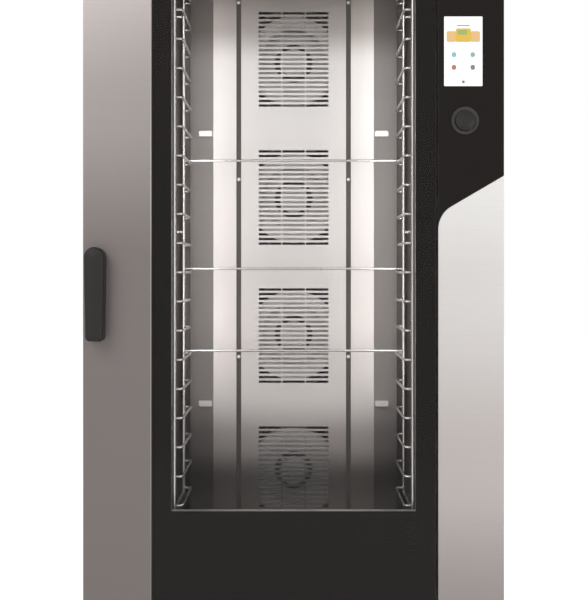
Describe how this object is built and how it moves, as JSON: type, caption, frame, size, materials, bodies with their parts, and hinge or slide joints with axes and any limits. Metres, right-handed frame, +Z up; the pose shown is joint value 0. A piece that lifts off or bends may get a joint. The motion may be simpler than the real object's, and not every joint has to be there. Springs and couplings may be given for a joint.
{
  "type": "combi steamer oven",
  "caption": "Floor-standing combi steamer oven with a glazed side-hinged door, tray racks, slotted fan guard, rear fans and a touch control column.",
  "frame": {"origin": "centre of the footprint of the whole object, at floor level", "axes": "+Z up, -Y out of the door, +X to the user's right"},
  "size_m": [0.93, 0.93, 1.88],
  "materials": {
    "outer_steel": "satin brushed stainless steel",
    "chamber_steel": "bright rolled stainless steel",
    "wire_steel": "polished stainless wire",
    "glass": "clear toughened glass",
    "black_glass": "black printed glass",
    "display": "lit touch display",
    "black_plastic": "black moulded plastic",
    "seal_rubber": "black silicone",
    "wool": "mineral wool board",
    "board": "circuit board",
    "lamp": "light bar",
    "motor_casting": "cast aluminium",
    "brass": "brass"
  },
  "bodies": {
    "cabinet": {"baffle_carriers": "chamber_steel", "baffle_fixings": "chamber_steel", "base_frame": "outer_steel", "cable_gland": "black_plastic", "cavity_liner": "chamber_steel", "cavity_rails": "outer_steel", "chimney": "outer_steel", "circuit_boards": "board", "column_housing": "outer_steel", "control_panel": "black_glass", "corner_posts": "outer_steel", "door_seal": "seal_rubber", "drain_pipe": "outer_steel", "drain_strainer": "chamber_steel", "encoder_body": "black_plastic", "fan_guard": "chamber_steel", "fan_motors": "motor_casting", "feet": "black_plastic", "front_plate": "outer_steel", "heater_rings": "chamber_steel", "hinge_brackets": "outer_steel", "hinge_pins": "wire_steel", "insulation_slabs": "wool", "knob_ring": "black_plastic", "latch_keeper": "outer_steel", "left_baffle": "chamber_steel", "left_rack": "wire_steel", "left_side_panel": "outer_steel", "leg_tubes": "outer_steel", "motor_bulkhead": "outer_steel", "rack_cross_rods": "wire_steel", "rack_studs": "wire_steel", "rear_panel": "outer_steel", "right_baffle": "chamber_steel", "right_front_panel": "outer_steel", "right_rack": "wire_steel", "right_side_panel": "outer_steel", "steam_tank": "outer_steel", "top_cover": "outer_steel", "touchscreen": "display", "water_inlets": "brass"},
    "door": {"door_outer_glass": "glass", "door_glass_mask": "black_glass", "door_frame": "outer_steel", "door_inner_glass": "glass", "door_side_cover": "outer_steel", "door_end_caps": "outer_steel", "hinge_bushes": "brass", "door_light_bars": "lamp", "handle_plate": "black_plastic", "latch_bush": "black_plastic"},
    "handle": {"handle_lever": "black_plastic", "latch_shaft": "wire_steel", "latch_roller": "wire_steel"},
    "knob_push": {"encoder_shaft": "wire_steel"},
    "knob": {"control_knob": "black_plastic"},
    "fan_1": {"fan_rotor_1": "chamber_steel"},
    "fan_2": {"fan_rotor_2": "chamber_steel"},
    "fan_3": {"fan_rotor_3": "chamber_steel"},
    "fan_4": {"fan_rotor_4": "chamber_steel"}
  },
  "joints": [
    {"name": "door_hinge", "type": "hinge", "parent": "cabinet", "child": "door", "pos_m": [0.305, -0.393, 0.9], "axis": [0, 0, 1], "range_deg": [0, 105]},
    {"name": "handle_turn", "type": "hinge", "parent": "door", "child": "handle", "pos_m": [-0.4346, -0.42, 0.916], "axis": [0, -1, 0], "range_deg": [0, 90]},
    {"name": "knob_press", "type": "slide", "parent": "cabinet", "child": "knob_push", "axis": [0, 1, 0], "range_m": [0, 0.0015]},
    {"name": "knob_spin", "type": "hinge", "parent": "knob_push", "child": "knob", "pos_m": [0.379, -0.41, 1.2186], "axis": [0, -1, 0], "continuous": true},
    {"name": "fan_1_spin", "type": "hinge", "parent": "cabinet", "child": "fan_1", "pos_m": [0, 0.15, 0.382], "axis": [0, 1, 0], "continuous": true},
    {"name": "fan_2_spin", "type": "hinge", "parent": "cabinet", "child": "fan_2", "pos_m": [0, 0.15, 0.7264], "axis": [0, 1, 0], "continuous": true},
    {"name": "fan_3_spin", "type": "hinge", "parent": "cabinet", "child": "fan_3", "pos_m": [0, 0.15, 1.0708], "axis": [0, 1, 0], "continuous": true},
    {"name": "fan_4_spin", "type": "hinge", "parent": "cabinet", "child": "fan_4", "pos_m": [0, 0.15, 1.4152], "axis": [0, 1, 0], "continuous": true}
  ]
}
